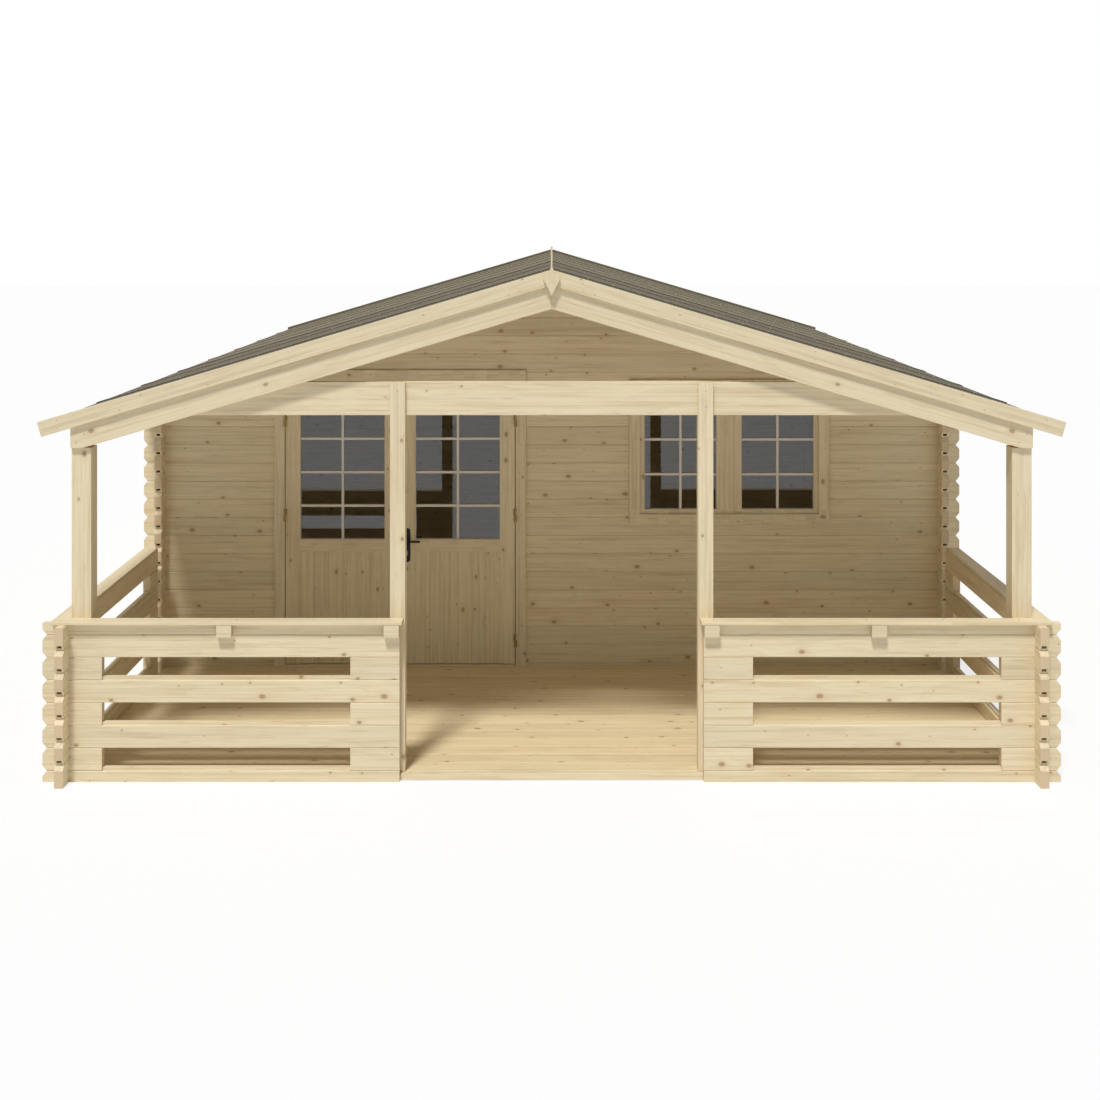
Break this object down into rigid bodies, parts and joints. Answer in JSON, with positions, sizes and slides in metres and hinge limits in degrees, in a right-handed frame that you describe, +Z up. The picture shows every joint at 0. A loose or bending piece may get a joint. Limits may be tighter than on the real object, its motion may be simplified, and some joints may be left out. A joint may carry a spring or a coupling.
{
  "type": "log cabin with veranda",
  "caption": "Pale log cabin with crossing log corners, a low gable roof with dark felt, a roofed veranda with slotted log rails, a glazed double door that opens outwards and a double window.",
  "frame": {"origin": "middle of the whole building's outline in plan, on the ground that the logs stand on", "axes": "+X to the right along the front, +Y from the veranda to the back wall, +Z up"},
  "size_m": [5.18, 7.12, 2.693],
  "materials": {
    "log_wood": "planed spruce",
    "frame_wood": "planed spruce",
    "roof_boarding": "planed spruce boards",
    "roofing_felt": "mineral-faced bitumen felt",
    "trim_wood": "planed spruce",
    "floor_wood": "planed spruce boards",
    "joinery_wood": "planed spruce",
    "clear_glass": "clear",
    "hinge_brass": "satin",
    "handle_bronze": "dark satin"
  },
  "bodies": {
    "cabin": {"front_wall_left": "log_wood", "front_wall_middle": "log_wood", "front_wall_right": "log_wood", "front_wall_sill": "log_wood", "window_lintel": "log_wood", "front_gable": "log_wood", "left_wall": "log_wood", "right_wall": "log_wood", "back_wall": "log_wood", "back_gable": "log_wood", "front_rail_left": "log_wood", "front_rail_right": "log_wood", "side_rail_left": "log_wood", "side_rail_right": "log_wood", "corner_posts": "frame_wood", "inner_posts": "frame_wood", "tie_beam": "frame_wood", "eaves_beams": "frame_wood", "front_rafter_left": "frame_wood", "front_rafter_right": "frame_wood", "ridge_purlin": "frame_wood", "side_purlins": "frame_wood", "roof_boards_left": "roof_boarding", "roof_boards_right": "roof_boarding", "roof_felt_left": "roofing_felt", "roof_felt_right": "roofing_felt", "front_rail_caps": "trim_wood", "side_rail_caps": "trim_wood", "cap_blocks": "trim_wood", "eaves_boards": "trim_wood", "front_bargeboard_left": "trim_wood", "front_bargeboard_right": "trim_wood", "back_bargeboard_left": "trim_wood", "back_bargeboard_right": "trim_wood", "finial": "trim_wood", "cabin_floor": "floor_wood", "veranda_floor": "floor_wood", "floor_bearers": "floor_wood", "entrance_sill": "floor_wood", "door_frame": "joinery_wood", "door_threshold": "joinery_wood", "window_frame": "joinery_wood", "window_sashes": "joinery_wood", "window_glass": "clear_glass", "frame_hinges": "hinge_brass"},
    "left_leaf": {"left_door_leaf": "joinery_wood", "left_door_glass": "clear_glass", "left_leaf_hinges": "hinge_brass"},
    "right_leaf": {"right_door_leaf": "joinery_wood", "right_door_glass": "clear_glass", "right_leaf_hinges": "hinge_brass", "handle_plates": "handle_bronze"},
    "lever": {"door_lever": "handle_bronze"}
  },
  "joints": [
    {"name": "left_door_hinge", "type": "hinge", "parent": "cabin", "child": "left_leaf", "pos_m": [-1.6695, -1.6593, 0.055], "axis": [0, 0, -1], "range_deg": [0, 110]},
    {"name": "right_door_hinge", "type": "hinge", "parent": "cabin", "child": "right_leaf", "pos_m": [-0.2285, -1.6593, 0.055], "axis": [0, 0, 1], "range_deg": [0, 110]},
    {"name": "lever_turn", "type": "hinge", "parent": "right_leaf", "child": "lever", "pos_m": [-0.905, -1.632, 0.828], "axis": [0, 1, 0], "range_deg": [0, 40], "stiffness_Nm_per_rad": 0.6, "springref_deg": -34.38}
  ]
}
